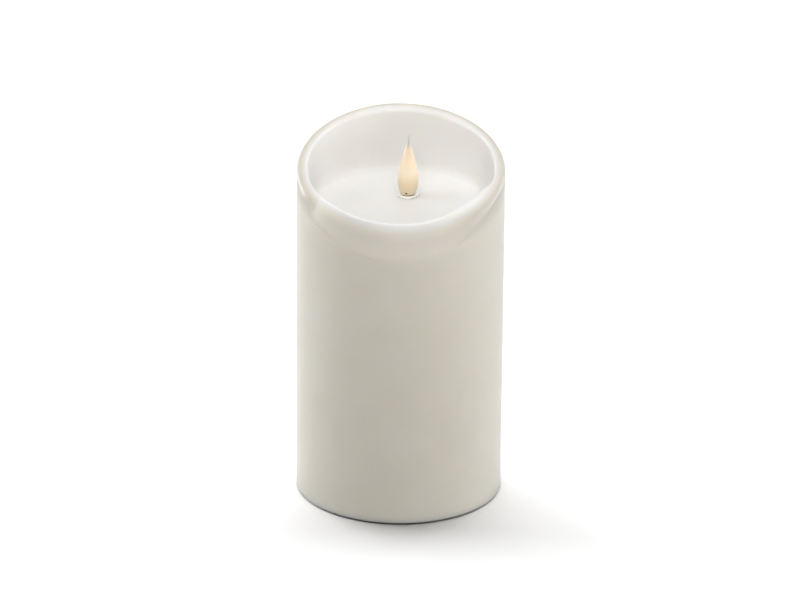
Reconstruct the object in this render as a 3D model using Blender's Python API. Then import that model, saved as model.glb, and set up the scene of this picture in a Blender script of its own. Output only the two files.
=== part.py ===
"""Flameless LED pillar candle: a wax shell with a slanted rim, standing over its battery base.

Blender 4.5, metres, +Z up. The origin is the middle of the footprint, on the surface that the
candle stands on. The rim is low at the front (-Y) and high at the back (+Y). A silicone flame
stands in the bowl on its LED, and the two cells load from below, through a quarter-turn cover.
Run it with: blender --background --python part.py
"""

from math import cos, hypot, radians, sin, tau

import bmesh
import bpy
from mathutils import Vector

MM = 0.001
GAP = 0.3 * MM  # between pieces that touch

# Wax shell
WAX_RADIUS = 50 * MM
WAX_HEIGHT = 180 * MM  # at the back of the rim
WAX_BOTTOM = 1.0 * MM  # the base's foot ring holds the wax this far off the table
RIM_SLOPE = 0.30  # rise per unit of +Y
CREST_RADIUS = 48.4 * MM
BOWL_RADIUS = 44.6 * MM  # at the rim's inner edge
BOWL_FLOOR = 148.4 * MM
BOWL_FLOOR_RADIUS = 42.4 * MM
BOWL_FILLET = 3.0 * MM
TRIM_DEPTH = 14 * MM  # the front of the rim leans inwards over this height
TRIM_INSIDE = 1.6 * MM  # by this much at the crest's inner edge
TRIM_OUTSIDE = 3.0 * MM  # and by this much at its outer edge
FLOOR_THICKNESS = 8 * MM
HOLLOW_RADIUS = 42 * MM
HOLLOW_FILLET = 6 * MM
RECESS_RADIUS = 43 * MM  # the base plate sits in this step
RECESS_TOP = 5.5 * MM
RIM_MIDDLE = WAX_HEIGHT - RIM_SLOPE * CREST_RADIUS
HOLLOW_TOP = BOWL_FLOOR - FLOOR_THICKNESS
WAX_SEGMENTS = 72

# Flame, standing a little right of the middle and behind it
FLAME_X = 3.4 * MM
FLAME_Y = 5.2 * MM
FLAME_FOOT = 149.2 * MM
FLAME_HOLE_RADIUS = 4.2 * MM
FLAME_CAVITY_RADIUS = 2.2 * MM
LEAD_HALF_PITCH = 1.27 * MM
LEAD_RADIUS = 0.25 * MM
HOLDER_FLANGE_TOP = HOLLOW_TOP - GAP
HOLDER_FLANGE_THICKNESS = 2 * MM
LED_BOARD_TOP = HOLDER_FLANGE_TOP - HOLDER_FLANGE_THICKNESS - 0.4 * MM
LED_BOARD_THICKNESS = 1.2 * MM
LED_WIRE_OFFSET = 3.2 * MM  # each LED wire's pad, from the flame's axis

# Base plate and its bayonet neck
PLATE_RADIUS = RECESS_RADIUS - 0.4 * MM
PLATE_BOTTOM = 2.4 * MM
PLATE_TOP = RECESS_TOP - GAP
FOOT_RING_WIDTH = 3 * MM
NECK_BORE = 27 * MM
NECK_RADIUS = 31 * MM
NECK_TOP = 15.6 * MM
LUG_COUNT = 3
LUG_ARC = 16  # degrees
LUG_RADIUS = 28.5 * MM
LUG_BOTTOM = 6.9 * MM
LUG_TOP = 9.1 * MM
COVER_TURN = 60  # degrees from locked back to the entry slots, anticlockwise seen from below
LUG_CLEARANCE = 0.4 * MM
BOSS_ANGLES = (60, 180, 300)
BOSS_CIRCLE = 34 * MM
BOSS_RADIUS = 3.6 * MM
EAR_RADIUS = 5 * MM  # the housing's ears lie on the bosses
SCREW_RADIUS = 1.0 * MM

# Battery compartment
CELL_RADIUS = 7.1 * MM
CELL_LENGTH = 50.5 * MM
CELL_OFFSET = 7.9 * MM  # each cell's axis, from the middle
CELL_1_BOTTOM = 7.9 * MM
CELL_2_BOTTOM = 12.8 * MM
BUTTON_RADIUS = 2.7 * MM
BUTTON_HEIGHT = 1.4 * MM
TUBE_INNER = 7.75 * MM  # radius of the tube's round ends
TUBE_OUTER = 9.55 * MM
TUBE_BOTTOM = 9.6 * MM
TUBE_ROOF = 64.5 * MM
TUBE_TOP = 66.4 * MM
FLANGE_BOTTOM = NECK_TOP + GAP
FLANGE_TOP = FLANGE_BOTTOM + 2.2 * MM
CONTACT_THICKNESS = 0.5 * MM
TAIL_TOP = 70 * MM
COIL_RADIUS = 4.4 * MM
COIL_WIRE = 0.35 * MM

# Quarter-turn cover and the keyed contact carrier inside it
COVER_BOTTOM = 0.9 * MM
COVER_FLANGE_RADIUS = 29.6 * MM
COVER_FLANGE_TOP = 2.1 * MM
SKIRT_RADIUS = 26.6 * MM
SKIRT_INNER = 24.6 * MM
SKIRT_TOP = 10.2 * MM
COVER_FLOOR = 5.0 * MM
GRIP_POCKET_TOP = 3.4 * MM
GRIP_WIDTH = 7 * MM
CARRIER_RADIUS = 24.2 * MM
CARRIER_BOTTOM = 5.4 * MM
CARRIER_TOP = 6.9 * MM
STRIP_BOTTOM = CARRIER_TOP + GAP
STRIP_TOP = STRIP_BOTTOM + 0.4 * MM

# Control board, flat over the base plate at the right-hand side (+X)
BOARD_X = 35.8 * MM
BOARD_HALF_X = 3.85 * MM
BOARD_HALF_Y = 12.4 * MM
BOARD_BOTTOM = 9.0 * MM
BOARD_TOP = 10.6 * MM
BOARD_SCREW_Y = 10 * MM
BOARD_SCREW_RADIUS = 0.85 * MM
PART_BOTTOM = BOARD_TOP + GAP
POST_RADIUS = 1.9 * MM
SWITCH_TRAVEL = 2 * MM  # each way from the middle position
KNOB_HALF_X = 1.0 * MM
KNOB_HALF_Y = 1.3 * MM
KNOB_BOTTOM = 1.3 * MM
SWITCH_BOTTOM = PLATE_TOP + GAP
SWITCH_TOP = BOARD_BOTTOM - GAP
WIRE_RADIUS = 0.6 * MM
WIRE_PAD_X = 1.9 * MM  # each wire's pad, from the board's middle line
WIRE_PAD_Y = 7.2 * MM


def clear_scene():
    for obj in list(bpy.data.objects):
        bpy.data.objects.remove(obj, do_unlink=True)


def material(name, color, roughness, metallic=0.0, transmission=0.0):
    made = bpy.data.materials.new(name)
    made.use_nodes = True
    shader = made.node_tree.nodes["Principled BSDF"]
    shader.inputs["Base Color"].default_value = (*color, 1)
    shader.inputs["Roughness"].default_value = roughness
    shader.inputs["Metallic"].default_value = metallic
    shader.inputs["Transmission Weight"].default_value = transmission
    return made


# Outlines and profiles


def arc(center, radius, start, end, steps):
    """Points on a circle from start to end, in degrees."""
    turns = [radians(start + (end - start) * i / steps) for i in range(steps + 1)]
    return [(center[0] + radius * cos(a), center[1] + radius * sin(a)) for a in turns]


def rectangle(half_x, half_y, x=0.0, y=0.0):
    return [
        (x - half_x, y - half_y),
        (x + half_x, y - half_y),
        (x + half_x, y + half_y),
        (x - half_x, y + half_y),
    ]


def stadium(radius, offset, steps=12):
    """Two half circles, offset from the middle along +Y and -Y, joined by straight sides."""
    return arc((0, offset), radius, 0, 180, steps) + arc((0, -offset), radius, 180, 360, steps)


def sector(inner, outer, start, end, steps):
    """A stretch of a flat ring, from start to end in degrees."""
    return arc((0, 0), outer, start, end, steps) + arc((0, 0), inner, end, start, steps)


def polar(radius, angle):
    return Vector((radius * cos(radians(angle)), radius * sin(radians(angle)), 0))


def smooth_through(points, steps=5):
    """Catmull-Rom points along a route, with its ends kept."""
    route = [Vector(p) for p in points]
    route = [2 * route[0] - route[1], *route, 2 * route[-1] - route[-2]]
    found = []
    for a, b, c, d in zip(route, route[1:], route[2:], route[3:]):
        for i in range(steps):
            t = i / steps
            bend = (2 * a - 5 * b + 4 * c - d) * t**2 + (3 * b - a - 3 * c + d) * t**3
            found.append(b + ((c - a) * t + bend) / 2)
    return found + [route[-2]]


# Solids, as bmesh shapes


def turned(profile, segments=64, closed=False):
    """(radius, height) points spun round +Z. A point on the axis becomes a pole.
    A third value tilts that ring: it rises by that much per unit of +Y."""
    shape = bmesh.new()
    rings = []
    for radius, height, *tilt in profile:
        slope = tilt[0] if tilt else 0.0
        count = segments if radius > 0 else 1
        ring = []
        for i in range(count):
            x, y = radius * cos(tau * i / segments), radius * sin(tau * i / segments)
            ring.append(shape.verts.new((x, y, height + slope * y)))
        rings.append(ring)
    following = rings[1:] + rings[:1] if closed else rings[1:]
    for low, high in zip(rings, following):
        for i in range(segments):
            j = (i + 1) % segments
            corners = [low[i % len(low)], low[j % len(low)], high[j % len(high)], high[i % len(high)]]
            shape.faces.new(list(dict.fromkeys(corners)))
    return shape


def prism(outline, bottom, top):
    """An upright prism over an outline in X and Y."""
    shape = bmesh.new()
    low = [shape.verts.new((x, y, bottom)) for x, y in outline]
    high = [shape.verts.new((x, y, top)) for x, y in outline]
    shape.faces.new(low)
    shape.faces.new(high)
    for i in range(len(outline)):
        j = (i + 1) % len(outline)
        shape.faces.new((low[i], low[j], high[j], high[i]))
    return shape


def rod(radius, bottom, top, x=0.0, y=0.0, segments=24):
    return prism(arc((x, y), radius, 0, 360 - 360 / segments, segments - 1), bottom, top)


def together(shapes):
    """Several shapes in one bmesh, each still its own body."""
    whole = bmesh.new()
    for shape in shapes:
        carried = bpy.data.meshes.new("carried")
        shape.to_mesh(carried)
        shape.free()
        whole.from_mesh(carried)
        bpy.data.meshes.remove(carried)
    return whole


# Objects


def mesh_of(name, shape, finish, sharp=35):
    bmesh.ops.recalc_face_normals(shape, faces=shape.faces)
    mesh = bpy.data.meshes.new(name)
    shape.to_mesh(mesh)
    shape.free()
    mesh.shade_smooth()
    mesh.set_sharp_from_angle(angle=radians(sharp))
    if finish:
        mesh.materials.append(finish)
    return mesh


def place(name, mesh, location=(0, 0, 0), turn=0.0):
    obj = bpy.data.objects.new(name, mesh)
    obj.location = location
    obj.rotation_euler = (0, 0, radians(turn))
    bpy.context.scene.collection.objects.link(obj)
    return obj


def solid(name, shape, finish, location=(0, 0, 0), sharp=35):
    return place(name, mesh_of(name, shape, finish, sharp), location)


def boolean(obj, operation, name, shape):
    """Cuts a shape from obj, or joins it to obj, with a hidden helper object."""
    helper = place(f"{obj.name}_{name}", mesh_of(name, shape, None), obj.location)
    helper.hide_render = True
    helper.display_type = "WIRE"
    modifier = obj.modifiers.new(name, "BOOLEAN")
    modifier.operation = operation
    modifier.object = helper


def cut(obj, name, *shapes):
    boolean(obj, "DIFFERENCE", name, together(shapes))


def join(obj, name, *shapes):
    for number, shape in enumerate(shapes, 1):
        boolean(obj, "UNION", f"{name}_{number}", shape)


def tube(name, points, radius, finish):
    """A round wire along a line of points."""
    curve = bpy.data.curves.new(name, "CURVE")
    curve.dimensions = "3D"
    curve.bevel_depth = radius
    curve.bevel_resolution = 2
    curve.use_fill_caps = True
    spline = curve.splines.new("POLY")
    spline.points.add(len(points) - 1)
    for point, place_at in zip(spline.points, points):
        point.co = (*place_at, 1)
    curve.materials.append(finish)
    obj = bpy.data.objects.new(name, curve)
    bpy.context.scene.collection.objects.link(obj)
    return obj


# Wax shell and flame


def make_wax_shell(wax):
    edge = 0.8 * MM  # small round along the bottom edge
    shoulder = 2.2 * MM  # round-over from the side to the crest
    lip = 0.9 * MM  # round from the crest into the bowl
    crest = RIM_MIDDLE
    shoulder_center = (WAX_RADIUS - shoulder, crest - shoulder)
    lip_center = (BOWL_RADIUS + lip, crest - lip)
    outer = [(RECESS_RADIUS, WAX_BOTTOM), *arc((WAX_RADIUS - edge, WAX_BOTTOM + edge), edge, -90, 0, 3)]
    side = [(WAX_RADIUS, crest - TRIM_DEPTH * part) for part in (1, 0.8, 0.6, 0.4)]
    rim = side + arc(shoulder_center, shoulder, 0, 90, 5) + arc(lip_center, lip, 90, 180, 3)
    fillet_center = (BOWL_FLOOR_RADIUS - BOWL_FILLET, BOWL_FLOOR + BOWL_FILLET)
    floor = arc(fillet_center, BOWL_FILLET, 0, -90, 5) + [(0, BOWL_FLOOR)]
    ceiling_center = (HOLLOW_RADIUS - HOLLOW_FILLET, HOLLOW_TOP - HOLLOW_FILLET)
    hollow = [(0, HOLLOW_TOP), *arc(ceiling_center, HOLLOW_FILLET, 90, 0, 4)]
    step = [(HOLLOW_RADIUS, RECESS_TOP), (RECESS_RADIUS, RECESS_TOP)]
    tilted = [(radius, height, RIM_SLOPE) for radius, height in rim]
    shape = turned([*outer, *tilted, *floor], WAX_SEGMENTS)
    underside = turned([*hollow, *step, (RECESS_RADIUS, WAX_BOTTOM)], WAX_SEGMENTS)
    shell = together([shape, underside])
    bmesh.ops.remove_doubles(shell, verts=shell.verts, dist=0.01 * MM)
    trim_front(shell)
    obj = solid("wax_shell", shell, wax, sharp=50)
    cut(obj, "flame_hole", rod(FLAME_HOLE_RADIUS, HOLLOW_TOP - MM, BOWL_FLOOR + MM, FLAME_X, FLAME_Y, 32))


def trim_front(shell):
    """Leans the rim inwards along the front, and keeps its crest in the slanted plane."""
    for vert in shell.verts:
        x, y, height = vert.co
        radius = hypot(x, y)
        depth = RIM_MIDDLE + RIM_SLOPE * y - height
        if y < 0 and radius > BOWL_RADIUS - MM and depth < TRIM_DEPTH:
            outward = min(max((radius - BOWL_RADIUS) / (3 * MM), 0), 1)
            inset = TRIM_INSIDE + (TRIM_OUTSIDE - TRIM_INSIDE) * outward
            inset *= -y / radius * (1 - max(depth, 0) / TRIM_DEPTH) ** 1.6
            moved = y * (1 - inset / radius)
            vert.co = (x * (1 - inset / radius), moved, height + RIM_SLOPE * (moved - y))


def make_flame_tip(silicone):
    """A teardrop, open at its foot, that draws out to a hair-thin tip. Outline in millimetres."""
    outline = [(2.9, 0), (3.8, 1.3), (4.5, 3.7), (4.85, 6.9), (4.7, 10.2), (4.15, 14.4)]
    outline += [(3.3, 18.6), (2.2, 22.8), (1.1, 26.6), (0.45, 29.2)]
    skin = [(p.x * MM, p.y * MM) for p in smooth_through([(*p, 0) for p in outline], 2)]
    tip = [(0.22 * MM, WAX_HEIGHT - FLAME_FOOT - 0.3 * MM), (0, WAX_HEIGHT - FLAME_FOOT)]
    cavity_height = 4.4 * MM
    cavity = arc((0, cavity_height), FLAME_CAVITY_RADIUS, 90, 0, 4)[1:]
    inside = [(0, cavity_height + FLAME_CAVITY_RADIUS), *cavity, (FLAME_CAVITY_RADIUS, 0)]
    shape = turned([*inside, *skin, *tip], 24)
    obj = solid("flame_tip", shape, silicone, (FLAME_X, FLAME_Y, FLAME_FOOT), sharp=60)
    vent = rod(0.4 * MM, 1.5 * MM, 6 * MM, segments=10)
    bmesh.ops.rotate(vent, verts=vent.verts, cent=(0, 0, 0), matrix=vent_turn())
    bmesh.ops.translate(vent, verts=vent.verts, vec=(0, 0, 1.3 * MM))
    cut(obj, "vent", vent)


def vent_turn():
    """Lays an upright rod down, pointing to the front and a little left."""
    return Vector((0, 0, 1)).rotation_difference(Vector((-0.32, -1, 0.1))).to_matrix()


def make_flame_collar(clear):
    """Clear glue round the flame's foot."""
    bottom, top = BOWL_FLOOR + GAP, BOWL_FLOOR + 3 * MM
    profile = [(4.2 * MM, bottom), (5.8 * MM, bottom), (5.5 * MM, bottom + MM)]
    profile += [(5.0 * MM, top), (4.75 * MM, top)]
    solid("flame_collar", turned(profile, 32, closed=True), clear, (FLAME_X, FLAME_Y, 0))


def make_flame_led(lens, metal):
    base = FLAME_FOOT + GAP
    radius, height = 1.5 * MM, 3.8 * MM
    flange = [(0, 0), (1.9 * MM, 0), (1.9 * MM, MM), (radius, MM)]
    dome = arc((0, height), radius, 0, 90, 4)[:-1] + [(0, height + radius)]
    solid("flame_led", turned([*flange, *dome], 20), lens, (FLAME_X, FLAME_Y, base))
    lead_bottom = LED_BOARD_TOP - LED_BOARD_THICKNESS - 0.6 * MM
    for name, side in (("led_anode_lead", 1), ("led_cathode_lead", -1)):
        x = FLAME_X + side * LEAD_HALF_PITCH
        solid(name, rod(LEAD_RADIUS, lead_bottom, base - GAP, segments=8), metal, (x, FLAME_Y, 0))


def make_flame_holder(plastic, board):
    """A flanged tube glued up into the hole in the bowl's floor, with the LED's board under it."""
    low = HOLDER_FLANGE_TOP - HOLDER_FLANGE_THICKNESS
    top = BOWL_FLOOR - 0.4 * MM
    bore, outer, flange = 3.0 * MM, 3.8 * MM, 9 * MM
    profile = [(bore, low), (flange, low), (flange, HOLDER_FLANGE_TOP), (outer, HOLDER_FLANGE_TOP)]
    profile += [(outer, top), (bore, top)]
    solid("flame_holder", turned(profile, 32, closed=True), plastic, (FLAME_X, FLAME_Y, 0))
    bottom = LED_BOARD_TOP - LED_BOARD_THICKNESS
    disc = solid("led_board", rod(6 * MM, bottom, LED_BOARD_TOP, segments=32), board, (FLAME_X, FLAME_Y, 0))
    leads = (LEAD_HALF_PITCH, -LEAD_HALF_PITCH)
    holes = [rod(0.6 * MM, bottom - MM, LED_BOARD_TOP + MM, x, 0, 10) for x in leads]
    cut(disc, "lead_holes", *holes)


# Base plate and battery compartment


def make_base_plate(plastic):
    ring_inner = PLATE_RADIUS - FOOT_RING_WIDTH
    profile = [
        (NECK_BORE, PLATE_BOTTOM),
        (ring_inner, PLATE_BOTTOM),
        (ring_inner, 0),
        (PLATE_RADIUS, 0),
        (PLATE_RADIUS, PLATE_TOP),
        (NECK_RADIUS, PLATE_TOP),
        (NECK_RADIUS, NECK_TOP),
        (NECK_BORE, NECK_TOP),
    ]
    plate = solid("base_plate", turned(profile, 72, closed=True), plastic)
    bosses = [polar(BOSS_CIRCLE, angle) for angle in BOSS_ANGLES]
    inside = PLATE_BOTTOM + MM  # helpers start inside the plate, so that they join it
    boss_top = NECK_TOP - 0.1 * MM
    join(plate, "boss", *[rod(BOSS_RADIUS, inside, boss_top, p.x, p.y, 20) for p in bosses])
    post_top = BOARD_BOTTOM - GAP
    posts = [(BOARD_X, side * BOARD_SCREW_Y) for side in (1, -1)]
    join(plate, "post", *[rod(POST_RADIUS, inside, post_top, x, y, 16) for x, y in posts])
    cut(plate, "boss_bores", *[rod(SCREW_RADIUS + GAP, 7 * MM, NECK_TOP + MM, p.x, p.y, 16) for p in bosses])
    bore = BOARD_SCREW_RADIUS + GAP
    cut(plate, "post_bores", *[rod(bore, 5.6 * MM, post_top + MM, x, y, 12) for x, y in posts])
    cut(plate, "bayonet_grooves", *bayonet_grooves())
    cut(plate, "bayonet_slots", *bayonet_slots())
    slot_half_y = KNOB_HALF_Y + SWITCH_TRAVEL + 0.4 * MM
    slot = rectangle(KNOB_HALF_X + 0.4 * MM, slot_half_y, BOARD_X)
    cut(plate, "switch_slot", prism(slot, PLATE_BOTTOM - MM, PLATE_TOP + MM))


def bayonet_grooves():
    """The grooves that the lugs turn in, each from its slot to its locked place."""
    margin = LUG_ARC / 2 + 1
    outer = LUG_RADIUS + LUG_CLEARANCE
    for number in range(LUG_COUNT):
        locked = number * 360 / LUG_COUNT
        outline = sector(NECK_BORE - MM, outer, locked - COVER_TURN, locked + margin, 12)
        yield prism(outline, LUG_BOTTOM - LUG_CLEARANCE, LUG_TOP + LUG_CLEARANCE)


def bayonet_slots():
    """The slots that the lugs enter by, from below."""
    margin = LUG_ARC / 2 + 1
    clearance = LUG_CLEARANCE + 0.1 * MM
    for number in range(LUG_COUNT):
        entry = number * 360 / LUG_COUNT - COVER_TURN
        outline = sector(NECK_BORE - 2 * MM, LUG_RADIUS + clearance, entry - margin, entry + margin, 4)
        yield prism(outline, PLATE_BOTTOM - MM, LUG_TOP + clearance)


def make_battery_cover(plastic):
    """The round cover under the base. It turns to lock, and its origin is on that axis."""
    profile = [
        (0, COVER_BOTTOM),
        (COVER_FLANGE_RADIUS, COVER_BOTTOM),
        (COVER_FLANGE_RADIUS, COVER_FLANGE_TOP),
        (SKIRT_RADIUS, COVER_FLANGE_TOP),
        (SKIRT_RADIUS, SKIRT_TOP),
        (SKIRT_INNER, SKIRT_TOP),
        (SKIRT_INNER, COVER_FLOOR),
        (0, COVER_FLOOR),
    ]
    cover = solid("battery_cover", turned(profile, 72), plastic)
    lugs = []
    for number in range(LUG_COUNT):
        middle = number * 360 / LUG_COUNT
        outline = sector(SKIRT_INNER + MM, LUG_RADIUS, middle - LUG_ARC / 2, middle + LUG_ARC / 2, 4)
        lugs.append(prism(outline, LUG_BOTTOM, LUG_TOP))
    join(cover, "lug", *lugs)
    pocket_radius = 21 * MM
    pockets = []
    for side in (0, 180):
        bow = [(x + GRIP_WIDTH / 2, y) for x, y in arc((0, 0), pocket_radius, -72, 72, 14)]
        turned_bow = [(x * cos(radians(side)), y) for x, y in bow]
        pockets.append(prism(turned_bow, COVER_BOTTOM - MM, GRIP_POCKET_TOP))
    cut(cover, "grip_pockets", *pockets)


def make_contact_carrier(fibre, metal):
    """A disc that stays still while the cover turns under it, keyed by two posts to the housing."""
    disc = solid("contact_carrier", rod(CARRIER_RADIUS, CARRIER_BOTTOM, CARRIER_TOP, segments=48), fibre)
    key_half, key_top = 1.2 * MM, 13.5 * MM
    key_x = TUBE_OUTER + GAP + key_half
    key_outlines = [rectangle(key_half, 4 * MM, x) for x in (key_x, -key_x)]
    join(disc, "key", *[prism(outline, CARRIER_BOTTOM + MM, key_top) for outline in key_outlines])
    strip = prism(rectangle(4 * MM, CELL_OFFSET + 4.5 * MM), STRIP_BOTTOM, STRIP_TOP)
    solid("bridge_strip", strip, metal)
    low = STRIP_TOP + GAP + COIL_WIRE
    high = CELL_2_BOTTOM - GAP - COIL_WIRE
    tube("bridge_spring", coil(-CELL_OFFSET, low, high), COIL_WIRE, metal)


def coil(y, start, end, turns=3, per_turn=10):
    """A spring's line: it narrows from its full radius at start to two thirds of it at end."""
    count = turns * per_turn
    points = []
    for i in range(count + 1):
        along = i / count
        radius = COIL_RADIUS * (1 - along / 3)
        angle = tau * turns * along
        points.append(Vector((radius * cos(angle), y + radius * sin(angle), start + (end - start) * along)))
    return points


def make_battery_housing(plastic):
    """The tube for two cells, side by side, on a flange that is screwed to the neck."""
    cell_tube = prism(stadium(TUBE_OUTER, CELL_OFFSET), TUBE_BOTTOM, TUBE_TOP)
    housing = solid("battery_housing", cell_tube, plastic)
    ears = [polar(BOSS_CIRCLE, angle) for angle in BOSS_ANGLES]
    join(housing, "flange", rod(NECK_RADIUS - 0.2 * MM, FLANGE_BOTTOM, FLANGE_TOP, segments=64))
    ear_bottom, ear_top = FLANGE_BOTTOM + 0.1 * MM, FLANGE_TOP - 0.1 * MM
    join(housing, "ear", *[rod(EAR_RADIUS, ear_bottom, ear_top, p.x, p.y, 24) for p in ears])
    bottom, top = FLANGE_BOTTOM - MM, FLANGE_TOP + MM
    cut(housing, "screw_holes", *[rod(SCREW_RADIUS + GAP, bottom, top, p.x, p.y, 16) for p in ears])
    cut(housing, "cell_bore", prism(stadium(TUBE_INNER, CELL_OFFSET), TUBE_BOTTOM - MM, TUBE_ROOF))
    plate_slot = prism(rectangle(1.7 * MM, 0.7 * MM, 0, -CELL_OFFSET), TUBE_ROOF - MM, TUBE_TOP + MM)
    spring_hole = rod(0.8 * MM, TUBE_ROOF - MM, TUBE_TOP + MM, COIL_RADIUS, CELL_OFFSET, 12)
    cut(housing, "tail_slots", plate_slot, spring_hole)


def make_top_contacts(metal):
    bottom = CELL_2_BOTTOM + CELL_LENGTH + GAP
    plate = solid(
        "contact_plate",
        prism(rectangle(4.2 * MM, 4.2 * MM, 0, -CELL_OFFSET), bottom, bottom + CONTACT_THICKNESS),
        metal,
    )
    tail = rectangle(1.2 * MM, CONTACT_THICKNESS / 2, 0, -CELL_OFFSET)
    join(plate, "tail", prism(tail, bottom + 0.1 * MM, TAIL_TOP))
    high = TUBE_ROOF - GAP - COIL_WIRE
    low = CELL_1_BOTTOM + CELL_LENGTH + GAP + COIL_WIRE
    line = coil(CELL_OFFSET, high, low)
    stem = [Vector((COIL_RADIUS, CELL_OFFSET, z)) for z in (TAIL_TOP, (TAIL_TOP + high) / 2, high + 0.5 * MM)]
    tube("contact_spring", stem + line[1:], COIL_WIRE, metal)


def make_cells(jacket):
    """Two AA cells: the first with its button down, the second with its button up."""
    edge = 0.6 * MM
    body_top = CELL_LENGTH - BUTTON_HEIGHT
    profile = [(0, 0), *arc((CELL_RADIUS - edge, edge), edge, -90, 0, 2)]
    profile += arc((CELL_RADIUS - edge, body_top - edge), edge, 0, 90, 2)
    profile += [(BUTTON_RADIUS, body_top), (BUTTON_RADIUS, CELL_LENGTH), (0, CELL_LENGTH)]
    mesh = mesh_of("aa_cell", turned(profile, 32), jacket)
    first = place("cell_1", mesh, (0, CELL_OFFSET, CELL_1_BOTTOM + CELL_LENGTH))
    first.rotation_euler = (radians(180), 0, 0)
    place("cell_2", mesh, (0, -CELL_OFFSET, CELL_2_BOTTOM))


def screw_shape(shank, head, head_height, length):
    """A pan-head screw with a cross recess, its head's underside at height 0."""
    crown = arc((head - head_height / 2, head_height / 2), head_height / 2, 0, 90, 2)
    tip = 0.5 * MM
    profile = [(0, -length), (shank / 2, -length), (shank, tip - length), (shank, 0), (head, 0)]
    return turned([*profile, *crown, (0, head_height)], 16)


def make_screws(steel):
    housing_mesh = mesh_of("housing_screw", screw_shape(SCREW_RADIUS, 1.9 * MM, 1.4 * MM, 8 * MM), steel)
    for number, angle in enumerate(BOSS_ANGLES, 1):
        at = polar(BOSS_CIRCLE, angle) + Vector((0, 0, FLANGE_TOP + GAP))
        add_cross_recess(place(f"housing_screw_{number}", housing_mesh, at), 1.4 * MM)
    board_mesh = mesh_of("board_screw", screw_shape(BOARD_SCREW_RADIUS, 1.5 * MM, 1.2 * MM, 4.6 * MM), steel)
    for number, side in enumerate((1, -1), 1):
        at = (BOARD_X, side * BOARD_SCREW_Y, PART_BOTTOM)
        add_cross_recess(place(f"board_screw_{number}", board_mesh, at), 1.2 * MM)


def add_cross_recess(screw, head_height):
    reach, half_width, depth = 1.0 * MM, 0.22 * MM, 0.7 * MM
    bottom, top = head_height - depth, head_height + MM
    cross = [(reach, half_width), (half_width, half_width), (half_width, reach), (-half_width, reach)]
    cross += [(-half_width, half_width), (-reach, half_width)]
    cross += [(-x, -y) for x, y in cross]
    cut(screw, "recess", prism(cross, bottom, top))


# Control board and wiring


def make_main_board(board):
    outline = rectangle(BOARD_HALF_X, BOARD_HALF_Y, BOARD_X)
    obj = solid("main_board", prism(outline, BOARD_BOTTOM, BOARD_TOP), board)
    bottom, top = BOARD_BOTTOM - MM, BOARD_TOP + MM
    radius = BOARD_SCREW_RADIUS + GAP
    screws = (BOARD_SCREW_Y, -BOARD_SCREW_Y)
    cut(obj, "screw_holes", *[rod(radius, bottom, top, BOARD_X, y, 12) for y in screws])


def make_switch(metal, plastic):
    """A slide switch under the board. Its knob's origin is in the middle of its travel."""
    body = prism(rectangle(2.2 * MM, 4.6 * MM, BOARD_X), SWITCH_BOTTOM, SWITCH_TOP)
    obj = solid("switch_body", body, metal)
    stem_top = 7.0 * MM
    window = rectangle(1.2 * MM, 0.7 * MM + SWITCH_TRAVEL + 0.5 * MM, BOARD_X)
    cut(obj, "window", prism(window, SWITCH_BOTTOM - MM, stem_top + 0.4 * MM))
    height = PLATE_TOP - 0.1 * MM - KNOB_BOTTOM
    block = prism(rectangle(KNOB_HALF_X, KNOB_HALF_Y), 0, height)
    knob = solid("switch_knob", block, plastic, (BOARD_X, 0, KNOB_BOTTOM))
    stem = prism(rectangle(0.7 * MM, 0.7 * MM), height - 0.5 * MM, stem_top - KNOB_BOTTOM)
    ridge = prism(rectangle(KNOB_HALF_X, 0.35 * MM), -0.3 * MM, MM)
    join(knob, "stem", stem)
    join(knob, "ridge", ridge)


def make_board_parts(chip_plastic, sleeve, ceramic):
    leg_pitch, leg_count = 1.27 * MM, 4
    chip_y = 3.6 * MM
    chip_body = prism(rectangle(1.9 * MM, 2.5 * MM, BOARD_X, chip_y), PART_BOTTOM, PART_BOTTOM + 1.5 * MM)
    chip = solid("timer_chip", chip_body, chip_plastic)
    legs = []
    for side in (1, -1):
        for number in range(leg_count):
            y = chip_y + (number - (leg_count - 1) / 2) * leg_pitch
            outline = rectangle(0.5 * MM, 0.2 * MM, BOARD_X + side * 2.2 * MM, y)
            legs.append(prism(outline, PART_BOTTOM, PART_BOTTOM + 0.7 * MM))
    join(chip, "leg", *legs)
    profile = [(0, 0), (2.5 * MM, 0), (2.5 * MM, 1.0 * MM), (2.3 * MM, 1.3 * MM), (2.5 * MM, 1.6 * MM)]
    profile += [(2.5 * MM, 6.2 * MM), (2.2 * MM, 6.5 * MM), (0, 6.5 * MM)]
    solid("capacitor", turned(profile, 24), sleeve, (BOARD_X, -2.6 * MM, PART_BOTTOM))
    chip_resistor = prism(rectangle(0.8 * MM, 0.5 * MM), 0, 0.6 * MM)
    resistor = solid("resistor", chip_resistor, ceramic, (BOARD_X, 7.4 * MM, PART_BOTTOM))
    ends = [prism(rectangle(0.3 * MM, 0.55 * MM, side * 0.9 * MM), 0.02 * MM, 0.7 * MM) for side in (1, -1)]
    join(resistor, "end", *ends)


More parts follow.
